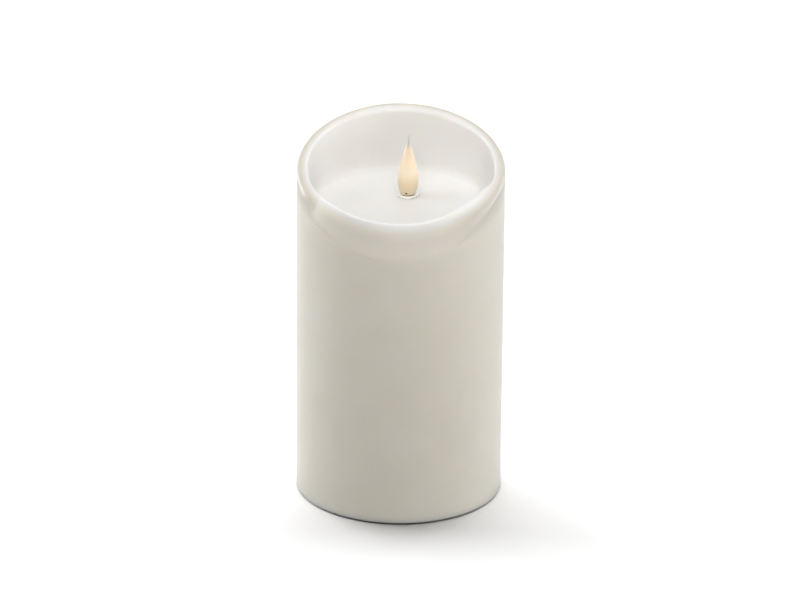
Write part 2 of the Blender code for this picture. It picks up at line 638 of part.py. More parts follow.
def make_wires(red, black):
    """Four insulated wires, each held at both ends: two to the cells, two up to the LED."""
    pad = {side: BOARD_X + side * WIRE_PAD_X for side in (1, -1)}
    start = PART_BOTTOM
    tail_end = TAIL_TOP + GAP
    board_end = LED_BOARD_TOP - LED_BOARD_THICKNESS - GAP
    routes = {
        "wire_battery_positive": (
            [
                (0, -CELL_OFFSET, tail_end),
                (3 * MM, -CELL_OFFSET, 75 * MM),
                (13 * MM, -6 * MM, 75 * MM),
                (24 * MM, 2 * MM, 55 * MM),
                (32 * MM, 8 * MM, 30 * MM),
                (pad[-1], WIRE_PAD_Y, start + 3 * MM),
                (pad[-1], WIRE_PAD_Y, start),
            ],
            red,
        ),
        "wire_battery_negative": (
            [
                (COIL_RADIUS, CELL_OFFSET, tail_end),
                (7 * MM, CELL_OFFSET, 75 * MM),
                (17 * MM, 9 * MM, 73 * MM),
                (29 * MM, 11 * MM, 52 * MM),
                (37 * MM, 11 * MM, 28 * MM),
                (pad[1], WIRE_PAD_Y, start + 3 * MM),
                (pad[1], WIRE_PAD_Y, start),
            ],
            black,
        ),
        "wire_led_positive": (
            [
                (pad[1], -WIRE_PAD_Y, start),
                (pad[1], -WIRE_PAD_Y, start + 3 * MM),
                (38 * MM, -9 * MM, 35 * MM),
                (34 * MM, -10 * MM, 75 * MM),
                (22 * MM, -3 * MM, 112 * MM),
                (FLAME_X + LED_WIRE_OFFSET, FLAME_Y, board_end - 6 * MM),
                (FLAME_X + LED_WIRE_OFFSET, FLAME_Y, board_end),
            ],
            red,
        ),
        "wire_led_negative": (
            [
                (pad[-1], -WIRE_PAD_Y, start),
                (pad[-1], -WIRE_PAD_Y, start + 3 * MM),
                (34.5 * MM, -10 * MM, 35 * MM),
                (29 * MM, -13 * MM, 75 * MM),
                (14 * MM, -6 * MM, 112 * MM),
                (FLAME_X - LED_WIRE_OFFSET, FLAME_Y, board_end - 6 * MM),
                (FLAME_X - LED_WIRE_OFFSET, FLAME_Y, board_end),
            ],
            black,
        ),
    }
    for name, (route, finish) in routes.items():
        tube(name, smooth_through(route), WIRE_RADIUS, finish)


def main():
    clear_scene()
    ivory_wax = material("ivory_wax", (0.86, 0.84, 0.78), 0.32)
    silicone = material("flame_silicone", (0.98, 0.86, 0.66), 0.45)
    clear_glue = material("clear_glue", (0.97, 0.97, 0.95), 0.05, transmission=1.0)
    ivory_plastic = material("ivory_plastic", (0.84, 0.82, 0.76), 0.45)
    black_plastic = material("black_plastic", (0.03, 0.03, 0.03), 0.5)
    lens = material("led_lens", (1.0, 0.85, 0.6), 0.1, transmission=0.8)
    board = material("board_green", (0.04, 0.2, 0.09), 0.4)
    nickel = material("nickel", (0.75, 0.74, 0.7), 0.25, metallic=1.0)
    zinc = material("zinc_steel", (0.6, 0.61, 0.63), 0.35, metallic=1.0)
    fibre = material("contact_fibre", (0.16, 0.12, 0.08), 0.6)
    jacket = material("cell_jacket", (0.1, 0.22, 0.42), 0.3)
    sleeve = material("capacitor_sleeve", (0.05, 0.07, 0.12), 0.3)
    ceramic = material("resistor_ceramic", (0.1, 0.1, 0.1), 0.5)
    red = material("wire_red", (0.6, 0.04, 0.03), 0.45)
    black = material("wire_black", (0.02, 0.02, 0.02), 0.45)

    make_wax_shell(ivory_wax)
    make_flame_tip(silicone)
    make_flame_collar(clear_glue)
    make_flame_led(lens, nickel)
    make_flame_holder(ivory_plastic, board)
    make_base_plate(ivory_plastic)
    make_battery_cover(ivory_plastic)
    make_contact_carrier(fibre, nickel)
    make_battery_housing(black_plastic)
    make_top_contacts(nickel)
    make_cells(jacket)
    make_screws(zinc)
    make_main_board(board)
    make_switch(zinc, black_plastic)
    make_board_parts(black_plastic, sleeve, ceramic)
    make_wires(red, black)


main()
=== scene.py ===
"""The looks of the flameless LED candle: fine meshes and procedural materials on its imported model.

Everything is in metres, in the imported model's own frame: +Z up, the origin in the middle of the
footprint, and the low side of the slanted rim at the front (-Y). Angles round the candle are in
degrees from +X, anticlockwise seen from above, so the front is at 270.
"""

from math import cos, radians, sin, tau

import bmesh
import bpy
import numpy as np
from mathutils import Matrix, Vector


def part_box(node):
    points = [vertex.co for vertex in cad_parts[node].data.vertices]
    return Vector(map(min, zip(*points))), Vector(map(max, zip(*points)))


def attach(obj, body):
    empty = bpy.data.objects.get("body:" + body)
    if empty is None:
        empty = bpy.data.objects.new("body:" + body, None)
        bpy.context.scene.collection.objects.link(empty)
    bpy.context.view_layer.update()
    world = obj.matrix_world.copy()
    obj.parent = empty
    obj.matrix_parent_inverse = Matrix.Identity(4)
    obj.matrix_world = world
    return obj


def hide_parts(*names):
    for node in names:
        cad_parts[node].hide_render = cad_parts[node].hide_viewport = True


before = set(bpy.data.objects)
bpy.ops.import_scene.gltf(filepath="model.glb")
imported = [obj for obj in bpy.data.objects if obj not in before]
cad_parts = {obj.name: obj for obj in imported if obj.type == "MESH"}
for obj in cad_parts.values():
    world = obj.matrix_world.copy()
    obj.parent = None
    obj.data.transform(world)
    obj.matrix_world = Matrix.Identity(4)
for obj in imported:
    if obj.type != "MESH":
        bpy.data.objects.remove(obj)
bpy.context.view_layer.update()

MM = 0.001

# Wax pillar
SEGMENTS = 384
RIM_SLOPE = 0.30  # rise of the rim per unit of +Y
SHOULDER = 2.2 * MM  # round-over from the side to the crest
TRIMMED_DROP = 11 * MM  # the long bevel where the front of the rim was trimmed
FRONT_DROP = 6 * MM  # added to it in the very front
FRONT_MIDDLE = 272  # where the trimmed bevel reaches furthest down
CREST_DIP = 0.16 * MM  # the crest lies this much under its plane
FRONT_RISE = 1.5 * MM  # the front of the crest is higher than the rest by this
CREST_WIDTH = 2.3 * MM
TRIMMED_CREST_WIDTH = 0.7 * MM
CREST_CROWN = 0.05 * MM
LIP = 0.9 * MM  # round from the crest into the bowl
BACK_LIP = 1.4 * MM  # added to it at the back
TRIMMED_LIP = -0.35 * MM  # added to it where the rim was trimmed
BOWL_RADIUS = 44.6 * MM
BOWL_FLOOR = 148.4 * MM
BOWL_FLOOR_RADIUS = 42.4 * MM
BOWL_FILLET = 3.0 * MM
FLOOR_THICKNESS = 8 * MM
HOLLOW_RADIUS = 42 * MM
HOLLOW_FILLET = 6 * MM
RECESS_RADIUS = 43 * MM  # the base plate's recess, under the hollow
RECESS_TOP = 5.5 * MM
BOTTOM_EDGE = 0.5 * MM  # round along the bottom
FLAME_HOLE_RADIUS = 4.2 * MM

wax_low, wax_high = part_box("wax_shell")
WAX_RADIUS = (wax_high.x - wax_low.x) / 2
WAX_BOTTOM = 0.45 * wax_low.z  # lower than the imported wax, so the gap over the floor is thinner
CREST_RADIUS = WAX_RADIUS - 1.6 * MM
RIM_MIDDLE = wax_high.z - RIM_SLOPE * CREST_RADIUS
HOLLOW_TOP = BOWL_FLOOR - FLOOR_THICKNESS

flame_low, flame_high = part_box("flame_tip")
FLAME_X = (flame_low.x + flame_high.x) / 2
FLAME_Y = (flame_low.y + flame_high.y) / 2
FLAME_FOOT = flame_low.z
FLAME_HEIGHT = flame_high.z - flame_low.z
VENT_PLACE = Vector((FLAME_X - 0.9 * MM, FLAME_Y - 3.85 * MM, FLAME_FOOT + 1.5 * MM))
VENT_RADIUS = 0.50 * MM
VENT_DEPTH = 0.3 * MM
GLUE_VOXEL = 0.14 * MM  # how fine the glue is remeshed

ANGLES = np.arange(SEGMENTS) * tau / SEGMENTS


# Meshes


def loft(rings, around=False):
    """Quads between closed rings of points. With around, the last ring meets the first."""
    rings = [np.asarray(ring, float) for ring in rings]
    count = len(rings[0])
    points = np.concatenate(rings)
    faces = []
    pairs = [(k, k + 1) for k in range(len(rings) - 1)]
    if around:
        pairs.append((len(rings) - 1, 0))
    for low, high in pairs:
        for i in range(count):
            j = (i + 1) % count
            faces.append((low * count + i, low * count + j, high * count + j, high * count + i))
    if not around:
        faces.append(tuple(reversed(range(count))))
        faces.append(tuple((len(rings) - 1) * count + i for i in range(count)))
    return points, faces


def piece(name, points, faces, finish, body, slot, sharp=60):
    """A new object from points and faces, smooth, riding on its body."""
    mesh = bpy.data.meshes.new(name)
    mesh.from_pydata([tuple(p) for p in points], [], faces)
    return dressed(name, mesh, finish, body, slot, sharp)


def dressed(name, mesh, finish, body, slot, sharp=60):
    """An object of this mesh: faces outward, smooth, with its material, riding on its body."""
    shape = bmesh.new()
    shape.from_mesh(mesh)
    bmesh.ops.recalc_face_normals(shape, faces=shape.faces)
    shape.to_mesh(mesh)
    shape.free()
    mesh.shade_smooth()
    mesh.set_sharp_from_angle(angle=radians(sharp))
    mesh.materials.append(finish)
    obj = bpy.data.objects.new(name, mesh)
    bpy.context.scene.collection.objects.link(obj)
    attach(obj, body)
    return obj


def ring(radius, height, center=(0.0, 0.0), tilt=0.0):
    """A ring of points. The radius and the height may differ from angle to angle."""
    y = radius * np.sin(ANGLES)
    spots = [radius * np.cos(ANGLES) + center[0], y + center[1], height + tilt * y]
    return np.stack([np.broadcast_to(v, ANGLES.shape) for v in spots], axis=1)


def arc(start, end, steps):
    """Angles in radians from start to end, in degrees, both ends included."""
    return [radians(start + (end - start) * i / steps) for i in range(steps + 1)]


def smooth_through(points, steps=5):
    """Catmull-Rom points along a line, with its ends kept."""
    route = [Vector(p) for p in points]
    route = [2 * route[0] - route[1], *route, 2 * route[-1] - route[-2]]
    found = []
    for a, b, c, d in zip(route, route[1:], route[2:], route[3:]):
        for i in range(steps):
            t = i / steps
            bend = (2 * a - 5 * b + 4 * c - d) * t**2 + (3 * b - a - 3 * c + d) * t**3
            found.append(b + ((c - a) * t + bend) / 2)
    return found + [route[-2]]


def swell(angle, *waves):
    """Slow waves round the candle: each is (turns, height, phase in degrees)."""
    return sum(height * np.sin(turns * angle + radians(phase)) for turns, height, phase in waves)


def step_up(value, start, end):
    """0 before start and 1 after end, smooth between."""
    t = np.clip((value - start) / (end - start), 0, 1)
    return t * t * (3 - 2 * t)


def between(angle, start, end, soft_start, soft_end):
    """1 from start to end, in degrees, fading to 0 over the soft degrees at each side."""
    turn = np.degrees(angle) % 360
    return step_up(turn, start - soft_start, start) * (1 - step_up(turn, end, end + soft_end))


# Materials


class Finish:
    """A Principled material, and short ways to add procedural detail to it.

    The colour and roughness given first are plain ones, which color() and rough() replace.
    """

    def __init__(self, name, color, roughness, metallic=0.0, **settings):
        self.material = bpy.data.materials.new(name)
        self.material.use_nodes = True
        self.tree = self.material.node_tree
        self.shader = self.tree.nodes["Principled BSDF"]
        self.shader.inputs["Base Color"].default_value = (*color, 1)
        self.shader.inputs["Roughness"].default_value = roughness
        self.shader.inputs["Metallic"].default_value = metallic
        for socket, value in settings.items():
            self.shader.inputs[socket.replace("_", " ")].default_value = value
        self.position = self.node("TexCoord").outputs["Object"]

    def node(self, kind, **settings):
        made = self.tree.nodes.new("ShaderNode" + kind)
        for key, value in settings.items():
            setattr(made, key, value)
        return made

    def link(self, output, target):
        self.tree.links.new(output, target)

    def noise(self, scale, detail=3.0, stretch=(1, 1, 1)):
        """A noise value. Scale is in features per metre, times stretch along each axis."""
        mapping = self.node("Mapping")
        mapping.inputs["Scale"].default_value = stretch
        self.link(self.position, mapping.inputs["Vector"])
        texture = self.node("TexNoise")
        texture.inputs["Scale"].default_value = scale
        texture.inputs["Detail"].default_value = detail
        self.link(mapping.outputs["Vector"], texture.inputs["Vector"])
        return texture.outputs["Fac"]

    def height(self, start, end):
        """0 at height start and 1 at height end, in metres."""
        parts = self.node("SeparateXYZ")
        self.link(self.position, parts.inputs["Vector"])
        return self.spread(parts.outputs["Z"], start, end, 0, 1)

    def spread(self, value, low, high, to_low, to_high):
        """The value from low to high becomes to_low to to_high, and stays within them."""
        scaled = self.node("MapRange")
        limits = {"From Min": low, "From Max": high, "To Min": to_low, "To Max": to_high}
        for socket, number in limits.items():
            scaled.inputs[socket].default_value = number
        self.link(value, scaled.inputs["Value"])
        return scaled.outputs["Result"]

    def ramp(self, value, *stops):
        """A colour read from (place, colour) stops."""
        ramp = self.node("ValToRGB")
        elements = ramp.color_ramp.elements
        while len(elements) < len(stops):
            elements.new(0.5)
        for element, (place, color) in zip(elements, stops):
            element.position = place
            element.color = (*color, 1)
        self.link(value, ramp.inputs["Fac"])
        return ramp.outputs["Color"]

    def math(self, operation, first, second):
        """A Math node's result, from two sockets or numbers."""
        node = self.node("Math", operation=operation)
        for socket, value in zip(node.inputs, (first, second)):
            if isinstance(value, bpy.types.NodeSocket):
                self.link(value, socket)
            else:
                socket.default_value = value
        return node.outputs["Value"]

    def outward(self, start, end):
        """0 at radius start from the vertical axis and 1 at radius end."""
        flat = self.node("VectorMath", operation="MULTIPLY")
        flat.inputs[1].default_value = (1, 1, 0)
        self.link(self.position, flat.inputs[0])
        length = self.node("VectorMath", operation="LENGTH")
        self.link(flat.outputs["Vector"], length.inputs[0])
        return self.spread(length.outputs["Value"], start, end, 0, 1)

    def under_rim(self, start, end):
        """0 at depth start under the plane of the rim and 1 at depth end."""
        tilted = self.node("VectorMath", operation="DOT_PRODUCT")
        tilted.inputs[1].default_value = (0, RIM_SLOPE, -1)
        self.link(self.position, tilted.inputs[0])
        return self.spread(tilted.outputs["Value"], start - RIM_MIDDLE, end - RIM_MIDDLE, 0, 1)

    def near(self, place, radius):
        """1 within this distance of a place, fading to 0 a quarter further out."""
        away = self.node("VectorMath", operation="DISTANCE")
        away.inputs[1].default_value = place
        self.link(self.position, away.inputs[0])
        return self.spread(away.outputs["Value"], 1.25 * radius, radius, 0, 1)

    def tinted(self, color, amount, tint):
        """The colour multiplied by the tint, where the amount is 1."""
        mix = self.node("MixRGB", blend_type="MULTIPLY")
        mix.inputs["Color2"].default_value = (*tint, 1)
        self.link(amount, mix.inputs["Fac"])
        self.link(color, mix.inputs["Color1"])
        return mix.outputs["Color"]

    def color(self, output):
        self.link(output, self.shader.inputs["Base Color"])
        return self

    def rough(self, value, low, high):
        """Roughness from low to high over the middle of a noise value's range."""
        self.link(self.spread(value, 0.3, 0.7, low, high), self.shader.inputs["Roughness"])
        return self

    def bump(self, value, depth, strength=1.0):
        """Raises the surface by up to depth, in metres, on top of any earlier bump."""
        bump = self.node("Bump")
        bump.inputs["Strength"].default_value = strength
        bump.inputs["Distance"].default_value = depth
        self.link(value, bump.inputs["Height"])
        normal = self.shader.inputs["Normal"]
        if normal.is_linked:
            self.link(normal.links[0].from_socket, bump.inputs["Normal"])
        self.link(bump.outputs["Normal"], normal)
        return self


def wax_finish():
    """Ivory wax that light goes into."""
    wax = Finish(
        "ivory_wax",
        (0.80, 0.79, 0.745),
        0.36,
        Subsurface_Weight=1.0,
        Subsurface_Radius=(1.0, 0.9, 0.75),
        Subsurface_Scale=5.0 * MM,
        IOR=1.44,
    )
    cloud = wax.noise(38, 2.0)
    skin = wax.ramp(cloud, (0.3, (0.848, 0.806, 0.702)), (0.7, (0.871, 0.832, 0.735)))
    # Painted shade: the thin wax along the outside of the rim is painted greyer, for the shade it
    # shows as it lets light through
    outside = wax.outward(45 * MM, 48.5 * MM)
    rim_painted_shade = wax.math("MULTIPLY", outside, wax.under_rim(12 * MM, 1 * MM))
    rim = wax.tinted(skin, rim_painted_shade, (0.72, 0.72, 0.73))
    # Painted light: the bowl and the crest round it are painted paler and less yellow than the side,
    # for their brightly lit, up-facing surfaces
    inside = wax.outward(47.2 * MM, 46.4 * MM)
    bowl = wax.math("MULTIPLY", inside, wax.height(BOWL_FLOOR - MM, BOWL_FLOOR))
    # Painted shade: the bowl's wall is painted a shade greyer than its floor, fading out towards the
    # top of its back
    at_wall = wax.outward(40 * MM, 42.2 * MM)
    wall = wax.math("MULTIPLY", at_wall, wax.height(BOWL_FLOOR, BOWL_FLOOR + 5 * MM))
    wall = wax.math("MULTIPLY", wall, wax.height(BOWL_FLOOR + 32 * MM, BOWL_FLOOR + 12 * MM))
    # Painted light on the bowl and crest
    bowl_painted_light = wax.tinted(rim, bowl, (1.01, 1.042, 1.145))
    # Painted shade on the bowl's wall
    wax.color(wax.tinted(bowl_painted_light, wax.math("MULTIPLY", bowl, wall), (0.93, 0.935, 0.945)))
    wax.rough(wax.noise(160, 4.0), 0.30, 0.44)
    wax.bump(wax.noise(420, 3.0), 0.03 * MM, 0.5)
    return wax.bump(wax.noise(2600, 2.0), 0.006 * MM, 0.4).material


def silicone_finish():
    """The flame's skin: darker to its foot, glowing in the middle, with a clear grey tail and painted
    shade in its vent.
    """
    silicone = Finish(
        "flame_silicone",
        (0.93, 0.80, 0.62),
        0.42,
        Subsurface_Weight=1.0,
        Subsurface_Radius=(1.0, 0.75, 0.5),
        Subsurface_Scale=0.6 * MM,
        Sheen_Weight=0.35,
        Sheen_Roughness=0.35,
        Emission_Strength=0.12,
    )
    along = silicone.height(FLAME_FOOT, FLAME_FOOT + FLAME_HEIGHT)
    # Painted shade: round the vent the skin is painted near black and its glow is taken out, for the
    # shade inside its shallow dent
    vent = silicone.near(VENT_PLACE, VENT_RADIUS)
    skin = silicone.ramp(
        along,
        (0.0, (0.66, 0.57, 0.43)),
        (0.22, (0.78, 0.66, 0.47)),
        (0.38, (0.93, 0.80, 0.65)),
        (0.5, (0.91, 0.77, 0.59)),
        (0.76, (0.84, 0.71, 0.54)),
        (0.84, (0.62, 0.59, 0.54)),
    )
    silicone.color(silicone.tinted(skin, vent, (0.05, 0.04, 0.03)))
    glow = silicone.ramp(
        along,
        (0.0, (0.30, 0.20, 0.08)),
        (0.2, (0.60, 0.42, 0.20)),
        (0.5, (1.0, 0.76, 0.46)),
        (0.72, (0.70, 0.55, 0.36)),
        (0.84, (0.0, 0.0, 0.0)),
    )
    glow = silicone.tinted(glow, vent, (0.0, 0.0, 0.0))
    silicone.link(glow, silicone.shader.inputs["Emission Color"])
    silicone.rough(silicone.noise(500, 3.0), 0.36, 0.5)
    return silicone.bump(silicone.noise(1400, 3.0), 0.02 * MM, 0.5).material


def glue_finish():
    """Clear glue. Its weak glow stands in for the flame's light."""
    glue = Finish(
        "clear_glue",
        (0.88, 0.87, 0.83),
        0.10,
        Subsurface_Weight=1.0,
        Subsurface_Radius=(1.0, 0.95, 0.9),
        Subsurface_Scale=2.0 * MM,
        Transmission_Weight=0.15,
        IOR=1.40,
        Emission_Strength=0.13,
        Emission_Color=(1.0, 0.93, 0.82, 1.0),
    )
    return glue.bump(glue.noise(900, 2.0), 0.03 * MM, 0.4).material


def plastic_finish(name, color, roughness):
    """Moulded plastic: a fine spark-eroded grain, and slow changes of tone and gloss."""
    plastic = Finish(name, color, roughness, Coat_Weight=0.08, Coat_Roughness=0.3)
    darker = tuple(0.9 * c for c in color)
    plastic.color(plastic.ramp(plastic.noise(60, 3.0), (0.3, darker), (0.7, color)))
    plastic.rough(plastic.noise(240, 3.0), roughness - 0.07, roughness + 0.09)
    return plastic.bump(plastic.noise(3500, 2.0), 0.02 * MM, 0.5)


def metal_finish(name, color, roughness, stretch=(1, 1, 12)):
    """Plated steel: drawing lines, dull patches, and a slight bloom in the colour."""
    metal = Finish(name, color, roughness, metallic=1.0, Specular_Tint=(1, 0.98, 0.95, 1))
    dull = tuple(0.82 * c for c in color)
    metal.color(metal.ramp(metal.noise(350, 4.0), (0.25, dull), (0.65, color)))
    metal.rough(metal.noise(900, 3.0, stretch), roughness - 0.08, roughness + 0.12)
    return metal.bump(metal.noise(5000, 2.0, stretch), 0.01 * MM, 0.5)


def board_finish():
    """Green solder mask over copper: tracks show as lighter bands that stand a little proud."""
    board = Finish("circuit_board", (0.03, 0.17, 0.08), 0.32, Coat_Weight=0.5, Coat_Roughness=0.15)
    tracks = board.node("TexBrick")
    tracks.inputs["Scale"].default_value = 380
    tracks.inputs["Mortar Size"].default_value = 0.03
    board.link(board.position, tracks.inputs["Vector"])
    fac = tracks.outputs["Fac"]
    board.color(board.ramp(fac, (0.2, (0.02, 0.13, 0.06)), (0.7, (0.06, 0.30, 0.13))))
    board.rough(board.noise(500, 3.0), 0.26, 0.42)
    return board.bump(fac, 0.03 * MM, 0.5)


def fibre_finish():
    """Pressed fibre board: dark flecks in brown."""
    fibre = Finish("contact_fibre", (0.16, 0.11, 0.07), 0.62)
    flecks = fibre.noise(1800, 5.0)
    fibre.color(fibre.ramp(flecks, (0.35, (0.07, 0.05, 0.03)), (0.65, (0.2, 0.14, 0.09))))
    fibre.rough(fibre.noise(700, 3.0), 0.52, 0.75)
    return fibre.bump(fibre.noise(2400, 4.0), 0.04 * MM, 0.6)


def cell_finish(name, button_end, other_end):
    """A printed jacket with a copper-coloured band by the button, and bare metal ends."""
    cell = Finish(name, (0.03, 0.04, 0.07), 0.28, Coat_Weight=0.6, Coat_Roughness=0.08)
    along = cell.height(other_end, button_end)
    steel, copper, ink = (0.62, 0.60, 0.57), (0.72, 0.36, 0.18), (0.025, 0.03, 0.05)
    places = (0.0, 0.018, 0.70, 0.955)
    colors = cell.ramp(along, *zip(places, (steel, ink, copper, steel)))
    bare = cell.ramp(along, *((place, (v, v, v)) for place, v in zip(places, (1, 0.1, 0.8, 1))))
    for ramp in (colors.node, bare.node):
        ramp.color_ramp.interpolation = "CONSTANT"
    cell.link(bare, cell.shader.inputs["Metallic"])
    worn = cell.spread(cell.noise(700, 4.0), 0.62, 0.75, 0, 0.35)
    cell.color(cell.tinted(colors, worn, (0.7, 0.7, 0.7)))
    cell.rough(cell.noise(300, 3.0), 0.2, 0.38)
    return cell.bump(cell.noise(1500, 2.0), 0.01 * MM, 0.4)


def sleeve_finish(top):
    """The capacitor's shrink sleeve, with its bare aluminium top showing."""
    sleeve = Finish("capacitor_sleeve", (0.05, 0.07, 0.14), 0.3)
    up = sleeve.height(top - 0.4 * MM, top - 0.3 * MM)
    sleeve.color(sleeve.ramp(up, (0.4, (0.03, 0.045, 0.11)), (0.6, (0.75, 0.75, 0.76))))
    sleeve.link(sleeve.spread(up, 0.4, 0.6, 0, 1), sleeve.shader.inputs["Metallic"])
    sleeve.rough(sleeve.noise(600, 3.0), 0.24, 0.4)
    return sleeve.bump(sleeve.noise(1600, 3.0), 0.02 * MM, 0.5)


def tinned_finish(name, color, half_width, middle_x):
    """A dark body with tinned metal legs or ends, which start this far from its middle."""
    part = Finish(name, color, 0.4)
    parts = part.node("SeparateXYZ")
    part.link(part.position, parts.inputs["Vector"])
    across = part.math("ABSOLUTE", part.math("SUBTRACT", parts.outputs["X"], middle_x), 0.0)
    tin = part.spread(across, half_width, half_width + 0.02 * MM, 0, 1)
    part.color(part.ramp(tin, (0.4, color), (0.6, (0.78, 0.77, 0.74))))
    part.link(tin, part.shader.inputs["Metallic"])
    part.rough(part.noise(900, 4.0), 0.3, 0.52)
    return part.bump(part.noise(4000, 3.0), 0.015 * MM, 0.5)


def wire_finish(name, color):
    """Soft vinyl insulation, a little dusty."""
    vinyl = Finish(name, color, 0.42, Sheen_Weight=0.15, Sheen_Roughness=0.5)
    dusty = tuple(0.9 * c + 0.03 for c in color)
    vinyl.color(vinyl.ramp(vinyl.noise(220, 4.0), (0.35, color), (0.75, dusty)))
    vinyl.rough(vinyl.noise(500, 3.0), 0.34, 0.52)
    return vinyl.bump(vinyl.noise(1800, 2.0), 0.02 * MM, 0.4)


def lens_finish():
    """The LED's epoxy: warm and clear, cloudy where it was moulded."""
    lens = Finish("led_lens", (1.0, 0.86, 0.6), 0.1, Transmission_Weight=0.85, IOR=1.5)
    lens.color(lens.ramp(lens.noise(500, 3.0), (0.3, (1.0, 0.80, 0.50)), (0.7, (1.0, 0.90, 0.68))))
    lens.rough(lens.noise(900, 3.0), 0.06, 0.2)
    return lens.bump(lens.noise(1500, 2.0), 0.01 * MM, 0.4)


# The wax pillar


def rim_dip(angle):
    """How far the crest lies below its plane: a poured and hand-trimmed edge."""
    waves = swell(angle, (2, 0.05 * MM, 40), (5, 0.05 * MM, 160), (9, 0.03 * MM, 75))
    return CREST_DIP + waves - FRONT_RISE * between(angle, 225, 325, 25, 30)


def trimmed(angle):
    """1 along the front of the rim, which was trimmed: sudden at the left, slow at the right."""
    return between(angle, 214, 288, 12, 62)


def bowl_edge(angle):
    """The bowl's radius at the rim: the wax is thicker along the front, most at the front right."""
    inset = 0.5 * MM * between(angle, 208, 300, 18, 30)
    inset += 2.2 * MM * between(angle, 312, 330, 30, 20)
    return BOWL_RADIUS - inset + swell(angle, (3, 0.10 * MM, 20), (7, 0.06 * MM, 200))


SCARS = (
    # start and end in degrees, below the shoulder's edge, depth, half width
    (188, 226, 0.1 * MM, 0.16 * MM, 0.30 * MM),
    (222, 232, 1.6 * MM, 0.10 * MM, 0.35 * MM),
    (246, 257, 0.7 * MM, 0.12 * MM, 0.35 * MM),
    (303, 311, 1.0 * MM, 0.14 * MM, 0.45 * MM),
    (318, 321, 2.2 * MM, 0.10 * MM, 0.40 * MM),
)


def scars(below):
    """Depth of the scratches left by trimming the rim, on the side just below the shoulder."""
    total = np.zeros(SEGMENTS)
    for start, end, middle, depth, half_width in SCARS:
        across = np.exp(-(((below - middle) / half_width) ** 2))
        total += depth * between(ANGLES, start, end, 3, 3) * across
    return total


def side_wave(height):
    """The cast side is round to a tenth of a millimetre or so."""
    lift = height / wax_high.z
    return swell(ANGLES + 0.8 * lift, (2, 0.04 * MM, 30), (5, 0.025 * MM, 100)) - 0.07 * MM


def side_rings(side_top):
    """The soft bottom edge and the side, whose rings slant more and more towards the rim."""
    side_bottom = WAX_BOTTOM + BOTTOM_EDGE
    for turn in arc(-90, 0, 6):
        radius = WAX_RADIUS - BOTTOM_EDGE + BOTTOM_EDGE * cos(turn)
        yield ring(radius, side_bottom + BOTTOM_EDGE * sin(turn))
    for part in np.linspace(0, 1, 90)[1:]:
        up = 1 - (1 - part) ** 2.2  # rings closer together near the rim
        height = side_bottom + (side_top - side_bottom) * up
        fade = step_up(height, side_bottom, side_bottom + 8 * MM)
        below = (side_top - side_bottom) * (1 - up)
        radius = WAX_RADIUS + side_wave(height) * fade - scars(below)
        yield ring(radius, height, tilt=RIM_SLOPE * up)


def shoulder_rings(crest, side_top, crest_out, trim):
    """From the side to the crest: a quarter round, or a long bevel where the rim was trimmed."""
    side = WAX_RADIUS + side_wave(side_top)
    drop = shoulder_drop(trim)
    for part in np.linspace(0, 1, 25)[1:]:
        turn = part * tau / 4
        inward = (1 - cos(turn)) * (1 - trim) + part**2 * trim
        down = (1 - sin(turn)) * (1 - trim) + (1 - part) * trim
        yield ring(side - (side - crest_out) * inward, crest - drop * down, tilt=RIM_SLOPE)


def crest_rings(crest, crest_out, edge, lip):
    """The slightly crowned crest, and the round from it into the bowl."""
    crest_in = edge + lip
    for part in (0.15, 0.5, 0.85):
        crown = CREST_CROWN * sin(part * tau / 2)
        yield ring(crest_out + (crest_in - crest_out) * part, crest + crown, tilt=RIM_SLOPE)
    for turn in arc(90, 180, 10):
        yield ring(edge + lip + lip * cos(turn), crest - lip * (1 - sin(turn)), tilt=RIM_SLOPE)


def bowl_rings(wall_top, edge):
    """The bowl's wall, the fillet at its foot, and its floor as far as the flame's hole."""
    fillet_top = BOWL_FLOOR + BOWL_FILLET
    for part in np.linspace(0, 1, 26)[1:]:
        waves = swell(ANGLES + 1.5 * part, (3, 0.12 * MM, 50), (7, 0.05 * MM, 10))
        wobble = waves * sin(part * tau / 2)
        radius = edge + (BOWL_FLOOR_RADIUS - edge) * part**1.5 + wobble
        height = wall_top + (fillet_top - wall_top) * part
        yield ring(radius, height, tilt=RIM_SLOPE * (1 - part))
    flat_radius = BOWL_FLOOR_RADIUS - BOWL_FILLET
    for turn in arc(0, -90, 12)[1:]:
        yield ring(flat_radius + BOWL_FILLET * cos(turn), fillet_top + BOWL_FILLET * sin(turn))
    for part in np.linspace(0, 1, 28)[1:]:
        radius = flat_radius + (FLAME_HOLE_RADIUS - flat_radius) * part
        yield ring(radius, BOWL_FLOOR, center=(FLAME_X * part, FLAME_Y * part))


def inside_rings():
    """Down the flame's hole, along the hollow's ceiling and wall, and out through the recess."""
    for part in (0.04, 0.5, 0.96):
        height = BOWL_FLOOR - FLOOR_THICKNESS * part
        yield ring(FLAME_HOLE_RADIUS, height, center=(FLAME_X, FLAME_Y))
    ceiling_radius = HOLLOW_RADIUS - HOLLOW_FILLET
    for part in np.linspace(1, 0, 12):
        radius = ceiling_radius + (FLAME_HOLE_RADIUS - ceiling_radius) * part
        yield ring(radius, HOLLOW_TOP, center=(FLAME_X * part, FLAME_Y * part))
    for turn in arc(90, 0, 8)[1:]:
        radius = ceiling_radius + HOLLOW_FILLET * cos(turn)
        yield ring(radius, HOLLOW_TOP - HOLLOW_FILLET + HOLLOW_FILLET * sin(turn))
    wall_top = HOLLOW_TOP - HOLLOW_FILLET
    for part in np.linspace(0, 1, 20)[1:]:
        yield ring(HOLLOW_RADIUS, wall_top + (RECESS_TOP - wall_top) * part)
    yield ring(RECESS_RADIUS, RECESS_TOP)
    yield ring(RECESS_RADIUS, WAX_BOTTOM)


def shoulder_drop(trim):
    """How far under the crest the side begins."""
    middle_front = np.clip(np.cos(ANGLES - radians(FRONT_MIDDLE)), 0, 1) ** 4
    return SHOULDER + (TRIMMED_DROP - SHOULDER + FRONT_DROP * middle_front) * trim


